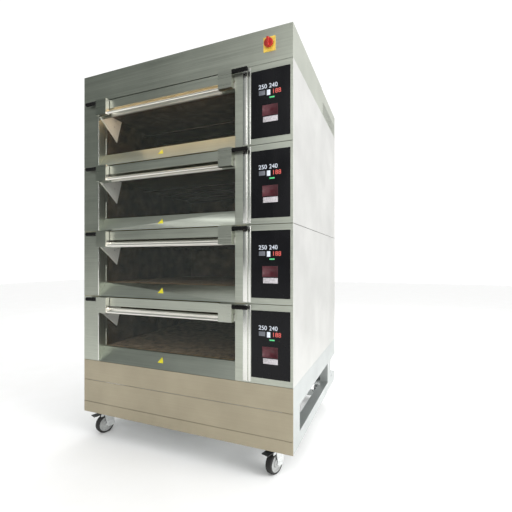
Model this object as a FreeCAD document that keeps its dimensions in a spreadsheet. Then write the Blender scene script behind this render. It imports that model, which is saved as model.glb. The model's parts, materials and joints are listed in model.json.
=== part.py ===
import FreeCAD, Part
import os
import re
import Sketcher

os.makedirs("parts", exist_ok=True)
doc = FreeCAD.newDocument("deck_oven")

# Driving dimensions, in millimetres and degrees.
SIZES = {
    # whole oven
    "width": 1220,
    "depth": 1070,
    "deck_pitch": 358,
    "hood_height": 152,
    "hood_step_depth": 614,
    "hood_step_drop": 4,
    "vent_rise": 14,
    "vent_pitch": 15,
    "vent_slot": 5,
    "vent_margin": 30,
    "front_reach": 30,
    "gland_reach": 25,
    "sheet": 2,
    "seam": 2,
    # base frame, from the floor up
    "low_rail": 58,
    "base_window": 123,
    "top_rail": 110,
    "rail_depth": 50,
    "front_post": 110,
    "rear_post": 105,
    "rear_post_gap": 160,
    "corner_margin": 19.5,
    "corner_plate_thick": 4,
    "cross_beam": 30,
    # front of a deck, across
    "post_width": 110,
    "jamb_width": 53,
    "bay_width": 224,
    "panel_width": 183,
    "panel_side": 13,
    "panel_end": 29,
    "panel_gap": 0.5,
    "panel_proud": 2,
    "control_rim": 8,
    "control_depth": 60,
    # front of a deck, down from the deck's top
    "lintel": 50,
    "header_gap": 3,
    "ceiling_drop": 50,
    "pivot_drop": 66,
    "bar_drop": 80,
    # front of a deck, up from the deck's bottom
    "sill_height": 74,
    "sill_ledge": 14,
    "hearth_level": 76,
    "hearth_thick": 20,
    "hearth_gap": 2,
    "floor_level": 30,
    # chamber, back from the front plane
    "recess": 60,
    "rear_wool": 150,
    "element_radius": 6,
    "element_margin": 80,
    "top_element_start": 370,
    "top_element_drop": 20,
    "low_element_rise": 13,
    "lamp_height": 10,
    "lamp_wide": 24,
    "lamp_inset": 48,
    "lamp_end": 60,
    # door
    "pivot_inset": 16,
    "shaft_radius": 7,
    "shaft_fit": 0.05,
    "shaft_end_gap": 0.5,
    "cheek_thick": 4,
    "cheek_length": 165,
    "cheek_drop": 134,
    "cheek_apex": 128,
    "cheek_front": 30,
    "cheek_lift": 1,
    "door_side_gap": 1.5,
    "door_foot_gap": 3,
    "pane_thick": 6,
    "pane_foot": 53,
    "pane_top_gap": 1,
    "clamp_lip": 2.5,
    "clamp_drop": 22,
    "bar_radius": 7,
    "bar_reach": 15,
    "bracket_width": 70,
    "bracket_depth": 24,
    "bracket_gap": 3,
    "bracket_top": 3,
    "bracket_wall": 3,
    "grip_radius": 10,
    "grip_length": 77,
    "grip_drop": 16,
    "grip_reach": 20,
    # main switch
    "switch_side": 108,
    "switch_rise": 80,
    "switch_width": 56,
    "switch_tall": 64,
    "switch_plate": 3,
    "knob_radius": 21,
    "knob_base": 10,
    "knob_bar": 11,
    "knob_gap": 0.4,
    "knob_stub": 2.5,
    "knob_shaft_radius": 4,
    # cable gland
    "gland_radius": 15,
    "gland_bore": 7,
    "gland_side": 112,
    "gland_rise": 90,
    # casters
    "caster_inset": 98,
    "front_yaw": -18,
    "rear_yaw": 0,
    "trail": 34,
    "wheel_radius": 50,
    "wheel_wide": 32,
    "wheel_edge": 5,
    "hub_radius": 18,
    "hub_proud": 2,
    "axle_radius": 6,
    "axle_head": 2,
    "leg_thick": 3,
    "leg_gap": 1,
    "leg_width": 34,
    "leg_below": 16,
    "crown_gap": 4,
    "crown_thick": 6,
    "crown_rise": 11,
    "crown_disc_radius": 24,
    "stem_radius": 8,
    "stem_top_gap": 1,
    "swivel_gap": 0.5,
    "caster_plate_x": 105,
    "caster_plate_y": 85,
    "caster_plate_thick": 5,
    "boss_radius": 24,
    "boss_height": 13,
    "pedal_pin_radius": 3,
    "pedal_hub_radius": 6.5,
    "pedal_pin_out": 9,
    "pedal_pin_up": 3,
    "pedal_lug": 7,
    "pedal_reach": 44,
    "pedal_thick": 4,
    "pedal_side_gap": 0.5,
}

sheet = doc.addObject("Spreadsheet::Sheet", "Sizes")
for row, (alias, value) in enumerate(SIZES.items(), start=1):
    sheet.set(f"A{row}", alias)
    sheet.set(f"B{row}", str(value))
    sheet.setAlias(f"B{row}", alias)
doc.recompute()

marker = doc.addObject("Part::Vertex", "outline_marker")
ALIAS = re.compile(r"\b(" + "|".join(sorted(SIZES, key=len, reverse=True)) + r")\b")
nodes = []


def bind(item, field, text):
    """Tie one property to an expression written with the sheet's own words."""
    item.setExpression(field, ALIAS.sub(r"Sizes.\1", text))


def place(item, x="0", y="0", z="0"):
    for axis, text in (("x", x), ("y", y), ("z", z)):
        bind(item, "Placement.Base." + axis, text)
    return item


def box(name, x, y, z):
    """A block between the low and high expressions of each axis."""
    item = doc.addObject("Part::Box", name)
    for field, (low, high) in (("Length", x), ("Width", y), ("Height", z)):
        bind(item, field, f"({high}) - ({low})")
    return place(item, x[0], y[0], z[0])


def rod(name, axis, radius, span, x="0", y="0", z="0"):
    """A cylinder along one axis; span replaces the place on that axis."""
    item = doc.addObject("Part::Cylinder", name)
    bind(item, "Radius", radius)
    bind(item, "Height", f"({span[1]}) - ({span[0]})")
    turn = {
        "X": FreeCAD.Rotation(FreeCAD.Vector(0, 1, 0), 90),
        "Y": FreeCAD.Rotation(FreeCAD.Vector(1, 0, 0), -90),
        "Z": FreeCAD.Rotation(),
    }[axis]
    item.Placement.Rotation = turn
    spot = {"X": x, "Y": y, "Z": z}
    spot[axis] = span[0]
    return place(item, spot["X"], spot["Y"], spot["Z"])


def fuse(name, items):
    item = doc.addObject("Part::MultiFuse", name)
    item.Shapes = items
    return item


def cut(name, base, tools):
    """The base with every tool taken away."""
    item = doc.addObject("Part::Cut", name)
    item.Base = base
    item.Tool = tools[0] if len(tools) == 1 else fuse(name + "_tools", tools)
    return item


def group(name, items):
    item = doc.addObject("Part::Compound", name)
    item.Links = items
    return item


def profile(name, points, length, plane="YZ_Plane", holes=()):
    """A body padded from a closed outline of (across, up) expressions."""
    body = doc.addObject("PartDesign::Body", name)
    sketch = body.newObject("Sketcher::SketchObject", name + "_outline")
    role = [item for item in body.Origin.OriginFeatures if item.Role == plane]
    sketch.AttachmentSupport = [(role[0], "")]
    sketch.MapMode = "FlatFace"
    total = len(points)
    start = [FreeCAD.Vector(*rough(point), 0) for point in points]
    for index in range(total):
        sketch.addGeometry(Part.LineSegment(start[index], start[(index + 1) % total]), False)
    for index in range(total):
        sketch.addConstraint(Sketcher.Constraint("Coincident", index, 2, (index + 1) % total, 1))
    for index, point in enumerate(points):
        pin(sketch, index, 1, point, start[index], f"corner{index}")
    for index, (across, up, radius) in enumerate(holes):
        number = total + index
        centre = FreeCAD.Vector(*rough((across, up)), 0)
        size = rough((radius, "0"))[0]
        sketch.addGeometry(Part.Circle(centre, FreeCAD.Vector(0, 0, 1), size), False)
        pin(sketch, number, 3, (across, up), centre, f"hole{index}")
        spot = sketch.addConstraint(Sketcher.Constraint("Radius", number, size))
        sketch.renameConstraint(spot, f"hole{index}_radius")
        bind(sketch, f"Constraints.hole{index}_radius", radius)
    pad = body.newObject("PartDesign::Pad", name + "_pad")
    pad.Profile = sketch
    bind(pad, "Length", length)
    body.Tip = pad
    return body


def rough(point):
    """The present values of a point's two expressions, read off a marker point."""
    place(marker, point[0], point[1])
    marker.recompute()
    return [marker.Placement.Base.x, marker.Placement.Base.y]


def pin(sketch, geometry, end, point, spot, label):
    """Hold one sketch point at its two expressions from the sketch's origin."""
    for kind, text, value in (("DistanceX", point[0], spot.x), ("DistanceY", point[1], spot.y)):
        index = sketch.addConstraint(Sketcher.Constraint(kind, -1, 1, geometry, end, value))
        sketch.renameConstraint(index, f"{label}_{kind[-1]}")
        bind(sketch, f"Constraints.{label}_{kind[-1]}", text)


def node(item, label):
    """Name a finished sub-part; its label is its file name."""
    item.Label = label
    nodes.append(item)
    return item


# Places that many sub-parts share.
left = "(-width/2)"
right = "(width/2)"
front = "(front_reach - (front_reach + depth + gland_reach)/2)"
back = f"({front} + depth)"
open_low = "(-width/2 + post_width)"
open_high = "(width/2 - bay_width - jamb_width)"
crown_low = "(2*wheel_radius + crown_gap)"
boss_low = f"({crown_low} + crown_rise)"
base_low = f"({boss_low} + boss_height + caster_plate_thick)"
window_low = f"({base_low} + low_rail)"
window_high = f"({window_low} + base_window)"
pivot_y = f"({front} + pivot_inset)"
recess_y = f"({front} + recess)"
chamber_y = f"({back} - rear_wool)"


def deck_z(number):
    """The bottom of a deck, counted from 0; 4 is the underside of the hood."""
    return f"({window_high} + top_rail + {number}*deck_pitch)"


hood_z = deck_z(4)
corner_plate = "(caster_inset + caster_plate_x/2 + corner_margin)"
side_fit = (open_low, open_high)
inner_door = (f"{open_low} + cheek_thick + door_side_gap", f"{open_high} - cheek_thick - door_side_gap")


def base_frame():
    """Two rings of rail with posts between them, beams, corner plates and a top sheet."""
    parts = []
    for name, low, high in (
        ("low_ring", base_low, window_low),
        ("top_ring", window_high, deck_z(0)),
    ):
        outer = box(name + "_outer", (left, right), (front, back), (low, high))
        inner = box(
            name + "_inner",
            (f"{left} + rail_depth", f"{right} - rail_depth"),
            (f"{front} + rail_depth", f"{back} - rail_depth"),
            (f"{low} - 1", f"{high} + 1"),
        )
        parts.append(cut(name, outer, [inner]))
    for side, low, high in (
        ("left", left, f"{left} + rail_depth"),
        ("right", f"{right} - rail_depth", right),
    ):
        for end, near, far in (
            ("front", f"{front} + sheet", f"{front} + front_post"),
            ("rear", f"{back} - rear_post_gap - rear_post", f"{back} - rear_post_gap"),
        ):
            parts.append(box(f"post_{end}_{side}", (low, high), (near, far), (window_low, window_high)))
    for third in (1, 2):
        start = f"{front} + {third}*depth/3 - cross_beam/2"
        parts.append(
            box(
                f"cross_beam_{third}",
                (f"{left} + rail_depth", f"{right} - rail_depth"),
                (start, f"{start} + cross_beam"),
                (base_low, f"{base_low} + cross_beam"),
            )
        )
    for side, low, high in (
        ("left", left, f"{left} + {corner_plate}"),
        ("right", f"{right} - {corner_plate}", right),
    ):
        for end, near, far in (
            ("front", front, f"{front} + {corner_plate}"),
            ("rear", f"{back} - {corner_plate}", back),
        ):
            parts.append(
                box(
                    f"corner_{end}_{side}",
                    (low, high),
                    (near, far),
                    (base_low, f"{base_low} + corner_plate_thick"),
                )
            )
    parts.append(
        box(
            "base_top_sheet",
            (f"{left} + rail_depth", f"{right} - rail_depth"),
            (f"{front} + rail_depth", f"{back} - rail_depth"),
            (f"{deck_z(0)} - sheet", deck_z(0)),
        )
    )
    node(fuse("base_frame", parts), "base_frame")


def front_skirt():
    """The plain panel between the two front rails."""
    item = box(
        "front_skirt",
        (left, right),
        (front, f"{front} + sheet"),
        (f"{window_low} + seam/2", f"{window_high} - seam/2"),
    )
    node(item, "front_skirt")


def deck_front(number):
    """One deck's front sheet with the mouth, its side returns, header and panel window."""
    low, high = deck_z(number), deck_z(number + 1)
    name = f"deck_{number + 1}_front"
    plate = box(
        name + "_plate",
        (left, right),
        (front, f"{front} + sheet"),
        (f"{low} + seam/2", f"{high} - seam/2"),
    )
    mouth = box(
        name + "_mouth",
        side_fit,
        (f"{front} - 1", f"{front} + sheet + 1"),
        (f"{low} - 1", f"{high} - lintel"),
    )
    window = box(
        name + "_window",
        (f"{right} - panel_side - panel_width - panel_gap", f"{right} - panel_side + panel_gap"),
        (f"{front} - 1", f"{front} + sheet + 1"),
        (f"{low} + panel_end - panel_gap", f"{high} - panel_end + panel_gap"),
    )
    notch = box(
        name + "_notch",
        (f"{inner_door[0]} + bracket_width", f"{inner_door[1]} - bracket_width"),
        (f"{front} - 1", f"{front} + sheet + 1"),
        (f"{high} - seam/2 - header_gap", f"{high} + 1"),
    )
    parts = [cut(name + "_sheet", plate, [mouth, window, notch])]
    for side, near, far in (
        ("left", f"{open_low} - sheet", open_low),
        ("right", open_high, f"{open_high} + sheet"),
    ):
        parts.append(
            box(
                f"{name}_return_{side}",
                (near, far),
                (front, recess_y),
                (f"{low} + seam/2", f"{high} - ceiling_drop + sheet"),
            )
        )
    parts.append(
        box(
            name + "_header",
            side_fit,
            (f"{front} + sheet", recess_y),
            (f"{high} - ceiling_drop", f"{high} - ceiling_drop + sheet"),
        )
    )
    node(fuse(name, parts), name)


def deck_sill(number):
    """A bent sheet that slopes up from the front to the ledge before the hearth."""
    name = f"deck_{number + 1}_sill"
    points = [
        ("0", "seam/2"),
        ("recess - sill_ledge", "sill_height"),
        ("recess", "sill_height"),
        ("recess", "sill_height - sheet"),
        ("recess - sill_ledge + sheet", "sill_height - sheet"),
        ("2*sheet", "seam/2"),
    ]
    item = profile(name, points, f"{open_high} - {open_low}")
    place(item, open_low, front, deck_z(number))
    node(item, name)


def deck_chamber(number):
    """A lined baking chamber, open to the front."""
    low, high = deck_z(number), deck_z(number + 1)
    name = f"deck_{number + 1}_chamber"
    outer = box(
        name + "_outer",
        (f"{open_low} - sheet", f"{open_high} + sheet"),
        (recess_y, f"{chamber_y} + sheet"),
        (f"{low} + floor_level - sheet", f"{high} - ceiling_drop + sheet"),
    )
    inner = box(
        name + "_inner",
        side_fit,
        (f"{recess_y} - 1", chamber_y),
        (f"{low} + floor_level", f"{high} - ceiling_drop"),
    )
    node(cut(name, outer, [inner]), name)


def deck_hearth(number):
    """The baking stone, held between the chamber walls."""
    low = deck_z(number)
    name = f"deck_{number + 1}_hearth"
    item = box(
        name,
        side_fit,
        (f"{recess_y} + hearth_gap", f"{chamber_y} - hearth_gap"),
        (f"{low} + hearth_level - hearth_thick", f"{low} + hearth_level"),
    )
    node(item, name)


def deck_panel(number):
    """The flush black control glass of one deck."""
    name = f"deck_{number + 1}_control_panel"
    item = box(
        name,
        (f"{right} - panel_side - panel_width", f"{right} - panel_side"),
        (f"{front} - panel_proud", f"{front} + sheet"),
        (f"{deck_z(number)} + panel_end", f"{deck_z(number + 1)} - panel_end"),
    )
    node(item, name)


def slanted(name, number, half, first, last):
    """A slab about the line from the door shaft to the pane's foot, cut level at two drops."""
    run = "(deck_pitch - pivot_drop - sill_height - door_foot_gap)"
    points = []
    for sign, drop in (("-", last), ("+", last), ("+", first), ("-", first)):
        across = f"pivot_inset + ({drop or run})*(pane_foot - pivot_inset)/{run} {sign} ({half})"
        points.append((across, f"deck_pitch - pivot_drop - ({drop or run})"))
    item = profile(name, points, f"{inner_door[1]} - ({inner_door[0]})")
    return place(item, inner_door[0], front, deck_z(number))


def pane(number, name):
    """The leaning glass, from just under the shaft to just above the sill's ledge."""
    return slanted(name, number, "pane_thick/2", "shaft_radius + pane_top_gap", "")


def door(number):
    """Shaft, glass clamp, two brackets and the bar between them, the pane, and two grips."""
    high = deck_z(number + 1)
    pivot_z = f"({high} - pivot_drop)"
    name = f"deck_{number + 1}_door_rail"
    shaft = rod(
        name + "_shaft",
        "X",
        "shaft_radius",
        (f"{open_low} + shaft_end_gap", f"{open_high} - shaft_end_gap"),
        y=pivot_y,
        z=pivot_z,
    )
    bar = rod(
        name + "_bar",
        "X",
        "bar_radius",
        (f"{inner_door[0]} + bracket_width/2", f"{inner_door[1]} - bracket_width/2"),
        y=f"{front} - bar_reach",
        z=f"{high} - bar_drop",
    )
    parts = [shaft, bar, slanted(name + "_clamp", number, "pane_thick/2 + clamp_lip", "0", "clamp_drop")]
    hollows = [pane(number, name + "_pane_slot")]
    bracket_y = (f"{front} - bracket_gap - bracket_depth", f"{front} - bracket_gap")
    for side, near, far in (
        ("left", inner_door[0], f"{inner_door[0]} + bracket_width"),
        ("right", f"{inner_door[1]} - bracket_width", inner_door[1]),
    ):
        parts.append(
            box(
                f"{name}_bracket_{side}",
                (near, far),
                bracket_y,
                (f"{high} - bar_drop - bar_radius", f"{high} - bracket_top"),
            )
        )
        parts.append(
            box(
                f"{name}_foot_{side}",
                (near, far),
                (f"{front} - bracket_gap", pivot_y),
                (f"{pivot_z} - shaft_radius", f"{pivot_z} + shaft_radius"),
            )
        )
        hollows.append(
            box(
                f"{name}_hollow_{side}",
                (f"{near} + bracket_wall", f"{far} - bracket_wall"),
                (f"{bracket_y[0]} + bracket_wall", f"{bracket_y[1]} + 1"),
                (f"{pivot_z} + shaft_radius", f"{high} - bracket_top - bracket_wall"),
            )
        )
    node(cut(name, fuse(name + "_body", parts), hollows), name)

    glass_name = f"deck_{number + 1}_door_glass"
    node(pane(number, glass_name), glass_name)

    grips = []
    for side, near, far in (
        ("left", f"{inner_door[0]} - grip_length", inner_door[0]),
        ("right", inner_door[1], f"{inner_door[1]} + grip_length"),
    ):
        grips.append(
            rod(
                f"deck_{number + 1}_grip_{side}",
                "X",
                "grip_radius",
                (near, far),
                y=f"{front} - grip_reach",
                z=f"{high} - grip_drop",
            )
        )
    node(group(f"deck_{number + 1}_grips", grips), f"deck_{number + 1}_grips")


def door_bearings():
    """Triangular plates on both sides of each mouth that carry the door shafts."""
    plates = []
    top = "(cheek_drop)"
    points = [
        ("0", f"{top} - cheek_front"),
        ("cheek_apex", "0"),
        ("cheek_length", top),
        ("0", top),
    ]
    shaft = (
        "pivot_inset - sheet",
        f"{top} - pivot_drop + ceiling_drop + cheek_lift",
        "shaft_radius + shaft_fit",
    )
    for number in range(4):
        for side, near in (("left", open_low), ("right", f"{open_high} - cheek_thick")):
            plate = profile(f"deck_{number + 1}_cheek_{side}", points, "cheek_thick", holes=[shaft])
            low = f"{deck_z(number + 1)} - ceiling_drop - cheek_lift - cheek_drop"
            plates.append(place(plate, near, f"{front} + sheet", low))
    node(group("door_bearings", plates), "door_bearings")


def heating_elements():
    """Straight tubular elements over and under each hearth, wall to wall."""
    bars = []
    last = f"{chamber_y} - element_margin"
    for number in range(4):
        top_height = f"{deck_z(number + 1)} - ceiling_drop - top_element_drop"
        low_height = f"{deck_z(number)} + floor_level + low_element_rise"
        rows = (
            ("top", 4, f"{front} + top_element_start", top_height),
            ("low", 5, f"{recess_y} + element_margin", low_height),
        )
        for level, count, first, height in rows:
            for index in range(count):
                place_y = f"{first} + {index}*({last} - ({first}))/{count - 1}"
                name = f"deck_{number + 1}_{level}_element_{index + 1}"
                bars.append(rod(name, "X", "element_radius", side_fit, y=place_y, z=height))
    node(group("heating_elements", bars), "heating_elements")


def lamps():
    """One flat lamp glass under each chamber's ceiling, just behind the door."""
    strips = []
    for number in range(4):
        ceiling = f"{deck_z(number + 1)} - ceiling_drop"
        strips.append(
            box(
                f"deck_{number + 1}_lamp",
                (f"{open_low} + lamp_end", f"{open_high} - lamp_end"),
                (f"{front} + lamp_inset", f"{front} + lamp_inset + lamp_wide"),
                (f"{ceiling} - lamp_height", ceiling),
            )
        )
    node(group("oven_lamps", strips), "oven_lamps")


def insulation():
    """Mineral wool beside, behind, over and under the chambers."""
    blocks = []
    heights = (deck_z(0), hood_z)
    inside = (f"{front} + sheet", f"{back} - sheet")
    blocks.append(box("wool_left", (f"{left} + sheet", f"{open_low} - sheet"), inside, heights))
    blocks.append(box("wool_right", (f"{open_high} + sheet", f"{open_high} + jamb_width"), inside, heights))
    core = (f"{open_low} - sheet", f"{open_high} + sheet")
    blocks.append(box("wool_rear", core, (f"{chamber_y} + sheet", inside[1]), heights))
    for number in range(5):
        low = deck_z(number) if number == 0 else f"{deck_z(number)} - ceiling_drop + sheet"
        high = hood_z if number == 4 else f"{deck_z(number)} + floor_level - sheet"
        blocks.append(box(f"wool_slab_{number + 1}", core, (recess_y, f"{chamber_y} + sheet"), (low, high)))
    node(group("insulation", blocks), "insulation")


def control_boxes():
    """One closed electronics box behind each control panel."""
    cases = []
    for number in range(4):
        cases.append(
            box(
                f"deck_{number + 1}_control_box",
                (
                    f"{right} - panel_side - panel_width - control_rim",
                    f"{right} - panel_side + control_rim",
                ),
                (f"{front} + sheet", f"{front} + sheet + control_depth"),
                (
                    f"{deck_z(number)} + panel_end - control_rim",
                    f"{deck_z(number + 1)} - panel_end + control_rim",
                ),
            )
        )
    node(group("control_boxes", cases), "control_boxes")


def casing():
    """Side panels in two heights, the rear cover and the two-step hood."""
    deep = (f"{front} + sheet", f"{back} - sheet")
    for side, near, far in (
        ("left", left, f"{left} + sheet"),
        ("right", f"{right} - sheet", right),
    ):
        node(
            box(f"{side}_lower_panel", (near, far), deep, (deck_z(0), f"{deck_z(2)} - seam/2")),
            f"{side}_lower_panel",
        )
        node(
            box(f"{side}_upper_panel", (near, far), deep, (f"{deck_z(2)} + seam/2", hood_z)),
            f"{side}_upper_panel",
        )
    node(
        box("rear_cover", (left, right), (f"{back} - sheet", back), (deck_z(0), hood_z)),
        "rear_cover",
    )
    step_y = f"{front} + hood_step_depth"
    for name, near, far, top in (
        ("hood", front, step_y, f"{hood_z} + hood_height"),
        ("rear_top", step_y, back, f"{hood_z} + hood_height - hood_step_drop"),
    ):
        outer = box(name + "_outer", (left, right), (near, far), (hood_z, top))
        inner = box(
            name + "_inner",
            (f"{left} + sheet", f"{right} - sheet"),
            (f"{near} + sheet", f"{far} - sheet"),
            (f"{hood_z} - 1", f"{top} - sheet"),
        )
        hollows = [inner]
        if name == "rear_top":
            for index in range(5):
                low = f"{hood_z} + vent_rise + {index}*vent_pitch"
                hollows.append(
                    box(
                        f"vent_slot_{index + 1}",
                        (f"{left} - 1", f"{right} + 1"),
                        (f"{near} + vent_margin", f"{far} - vent_margin"),
                        (low, f"{low} + vent_slot"),
                    )
                )
        node(cut(name, outer, hollows), name)


def main_switch():
    """A square plate on the hood with a rotary knob that turns in its bore."""
    x = f"{right} - switch_side"
    z = f"{hood_z} + switch_rise"
    plate = box(
        "switch_plate_block",
        (f"{x} - switch_width/2", f"{x} + switch_width/2"),
        (f"{front} - switch_plate", front),
        (f"{z} - switch_tall/2", f"{z} + switch_tall/2"),
    )
    bore = rod(
        "switch_bore",
        "Y",
        "knob_shaft_radius + shaft_fit",
        (f"{front} - switch_plate - 1", front),
        x=x,
        z=z,
    )
    node(cut("switch_plate", plate, [bore]), "switch_plate")
    face = f"{front} - switch_plate - knob_gap"
    disc = rod("knob_disc", "Y", "knob_radius", (f"{face} - knob_base", face), x=x, z=z)
    stub = rod("knob_stub_shaft", "Y", "knob_shaft_radius", (face, f"{face} + knob_stub"), x=x, z=z)
    bar = box(
        "knob_grip_bar",
        (f"{x} - knob_bar/2", f"{x} + knob_bar/2"),
        (f"{front} - front_reach", f"{face} - knob_base"),
        (f"{z} - knob_radius + 1", f"{z} + knob_radius - 1"),
    )
    node(fuse("switch_knob", [disc, stub, bar]), "switch_knob")


def cable_gland():
    x = f"{right} - gland_side"
    z = f"{deck_z(0)} + gland_rise"
    span = (back, f"{back} + gland_reach")
    ring = rod("gland_ring", "Y", "gland_radius", span, x=x, z=z)
    bore = rod("gland_bore_hole", "Y", "gland_bore", (f"{back} + sheet", f"{span[1]} + 1"), x=x, z=z)
    node(cut("cable_gland", ring, [bore]), "cable_gland")


leg_inner = "(wheel_wide/2 + hub_proud + leg_gap)"
pedal_y = "(-trail - leg_width/2 - pedal_pin_out)"
pedal_z = f"({crown_low} + pedal_pin_up)"


def turned(item, x, y, yaw):
    """Turn a caster's piece about its swivel axis, then set it under its corner."""
    item.Placement.Rotation = FreeCAD.Rotation(FreeCAD.Vector(0, 0, 1), 1)
    bind(item, "Placement.Rotation.Angle", yaw)
    return place(item, x, y)


def caster_fork(corner):
    """Crown, two legs, stem, axle pin and pedal pin, drawn about the swivel axis."""
    reach = "(trail + leg_width/2)"
    parts = []
    for side, near, far in (
        ("left", f"-{leg_inner} - leg_thick", f"-{leg_inner}"),
        ("right", leg_inner, f"{leg_inner} + leg_thick"),
    ):
        points = [
            ("0", f"{crown_low}"),
            (f"{reach} - leg_width", "wheel_radius - leg_below"),
            (reach, "wheel_radius - leg_below"),
            (f"{reach} + leg_width/3", f"{crown_low}"),
        ]
        leg = profile(f"leg_{side}_{corner}", points, "leg_thick")
        place(leg, near, "-trail - leg_width/3", "0")
        parts.append(leg)
    parts.append(
        box(
            f"crown_{corner}",
            (f"-{leg_inner} - leg_thick", f"{leg_inner} + leg_thick"),
            (f"-{reach}", "crown_disc_radius"),
            (crown_low, f"{crown_low} + crown_thick"),
        )
    )
    parts.append(
        rod(
            f"crown_disc_{corner}",
            "Z",
            "crown_disc_radius",
            (crown_low, f"{boss_low} - swivel_gap"),
        )
    )
    parts.append(
        rod(
            f"stem_{corner}",
            "Z",
            "stem_radius",
            (crown_low, f"{base_low} - caster_plate_thick/2 - stem_top_gap"),
        )
    )
    parts.append(
        rod(
            f"axle_{corner}",
            "X",
            "axle_radius",
            (f"-{leg_inner} - leg_thick - axle_head", f"{leg_inner} + leg_thick + axle_head"),
            y="-trail",
            z="wheel_radius",
        )
    )
    if corner.startswith("front"):
        for side, near, far in (
            ("left", f"-{leg_inner} - leg_thick", f"-{leg_inner}"),
            ("right", leg_inner, f"{leg_inner} + leg_thick"),
        ):
            parts.append(
                box(
                    f"pedal_lug_{side}_{corner}",
                    (near, far),
                    (f"{pedal_y} - pedal_lug", f"-{reach}"),
                    (f"{pedal_z} - pedal_lug", f"{pedal_z} + pedal_lug - 1"),
                )
            )
        parts.append(
            rod(
                f"pedal_pin_{corner}",
                "X",
                "pedal_pin_radius",
                (f"-{leg_inner} - leg_thick", f"{leg_inner} + leg_thick"),
                y=pedal_y,
                z=pedal_z,
            )
        )
    return fuse(f"fork_{corner}", parts)


def caster_wheel(corner):
    """Tyre with a proud hub, bored for the axle."""
    tyre = rod(
        f"tyre_{corner}",
        "X",
        "wheel_radius",
        ("-wheel_wide/2", "wheel_wide/2"),
        y="-trail",
        z="wheel_radius",
    )
    hub = rod(
        f"hub_{corner}",
        "X",
        "hub_radius",
        ("-wheel_wide/2 - hub_proud", "wheel_wide/2 + hub_proud"),
        y="-trail",
        z="wheel_radius",
    )
    bore = rod(
        f"axle_bore_{corner}",
        "X",
        "axle_radius + shaft_fit",
        ("-wheel_wide", "wheel_wide"),
        y="-trail",
        z="wheel_radius",
    )
    doc.recompute()
    soft = doc.addObject("Part::Fillet", f"tyre_edge_{corner}")
    soft.Base = tyre
    rims = [index + 1 for index, edge in enumerate(tyre.Shape.Edges) if edge.isClosed()]
    soft.Edges = [(index, SIZES["wheel_edge"], SIZES["wheel_edge"]) for index in rims]
    return cut(f"wheel_{corner}", fuse(f"wheel_body_{corner}", [soft, hub]), [bore])


def caster_plate(corner):
    """Top plate and bearing boss, bored for the fork's stem."""
    plate = box(
        f"plate_{corner}",
        ("-caster_plate_x/2", "caster_plate_x/2"),
        ("-caster_plate_y/2", "caster_plate_y/2"),
        (f"{base_low} - caster_plate_thick", base_low),
    )
    boss = rod(
        f"boss_{corner}",
        "Z",
        "boss_radius",
        (boss_low, f"{base_low} - caster_plate_thick"),
    )
    bore = rod(
        f"stem_bore_{corner}",
        "Z",
        "stem_radius + shaft_fit",
        (f"{boss_low} - 1", f"{base_low} - caster_plate_thick/2"),
    )
    return cut(f"caster_plate_{corner}", fuse(f"plate_body_{corner}", [plate, boss]), [bore])


CORNERS = {
    "front_left": (f"{left} + caster_inset", f"{front} + caster_inset", "front_yaw"),
    "front_right": (f"{right} - caster_inset", f"{front} + caster_inset", "front_yaw"),
    "rear_left": (f"{left} + caster_inset", f"{back} - caster_inset", "rear_yaw"),
    "rear_right": (f"{right} - caster_inset", f"{back} - caster_inset", "rear_yaw"),
}


def casters():
    plates = []
    for corner, (x, y, yaw) in CORNERS.items():
        plates.append(place(caster_plate(corner), x, y))
        for kind, item in (("caster_fork", caster_fork(corner)), ("caster_wheel", caster_wheel(corner))):
            turned(item, x, y, yaw)
            node(item, f"{kind}_{corner}")
    node(group("caster_plates", plates), "caster_plates")


def brake_pedals():
    """A foot lever on each front fork, bored for the pin in front of the crown."""
    half = f"({leg_inner} - pedal_side_gap)"
    for corner in ("front_left", "front_right"):
        x, y, yaw = CORNERS[corner]
        hub = rod(
            f"pedal_hub_{corner}",
            "X",
            "pedal_hub_radius",
            (f"-{half}", half),
            y=pedal_y,
            z=pedal_z,
        )
        tread = box(
            f"pedal_tread_{corner}",
            (f"-{half}", half),
            (f"{pedal_y} - pedal_reach", pedal_y),
            (f"{pedal_z} + pedal_hub_radius - pedal_thick", f"{pedal_z} + pedal_hub_radius"),
        )
        bore = rod(
            f"pedal_bore_{corner}",
            "X",
            "pedal_pin_radius + shaft_fit",
            ("-wheel_wide", "wheel_wide"),
            y=pedal_y,
            z=pedal_z,
        )
        item = cut(f"brake_pedal_{corner}", fuse(f"pedal_body_{corner}", [hub, tread]), [bore])
        turned(item, x, y, yaw)
        node(item, f"brake_pedal_{corner}")


base_frame()
front_skirt()
for deck in range(4):
    deck_front(deck)
    deck_sill(deck)
    deck_chamber(deck)
    deck_hearth(deck)
    deck_panel(deck)
    door(deck)
door_bearings()
heating_elements()
lamps()
insulation()
control_boxes()
casing()
main_switch()
cable_gland()
casters()
brake_pedals()
doc.recompute()

for item in doc.Objects:
    if "Invalid" in item.State or "Error" in item.State:
        raise RuntimeError(f"{item.Name} failed: {item.State}")
for item in nodes:
    if item.Shape.isNull() or not item.Shape.isValid():
        raise RuntimeError(f"{item.Label} has no valid shape")
for item in nodes:
    item.Shape.exportStep(f"parts/{item.Label}.step")
print(len(nodes), "nodes")
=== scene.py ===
# %% [markdown]
# # A four-deck bakery oven
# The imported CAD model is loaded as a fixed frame. Everything below gives it its
# finishes, adds the small made parts that a sheet-metal model leaves out, and
# sets up a floor, lights and a camera.

# %% Load the frame
import json
import math

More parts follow.
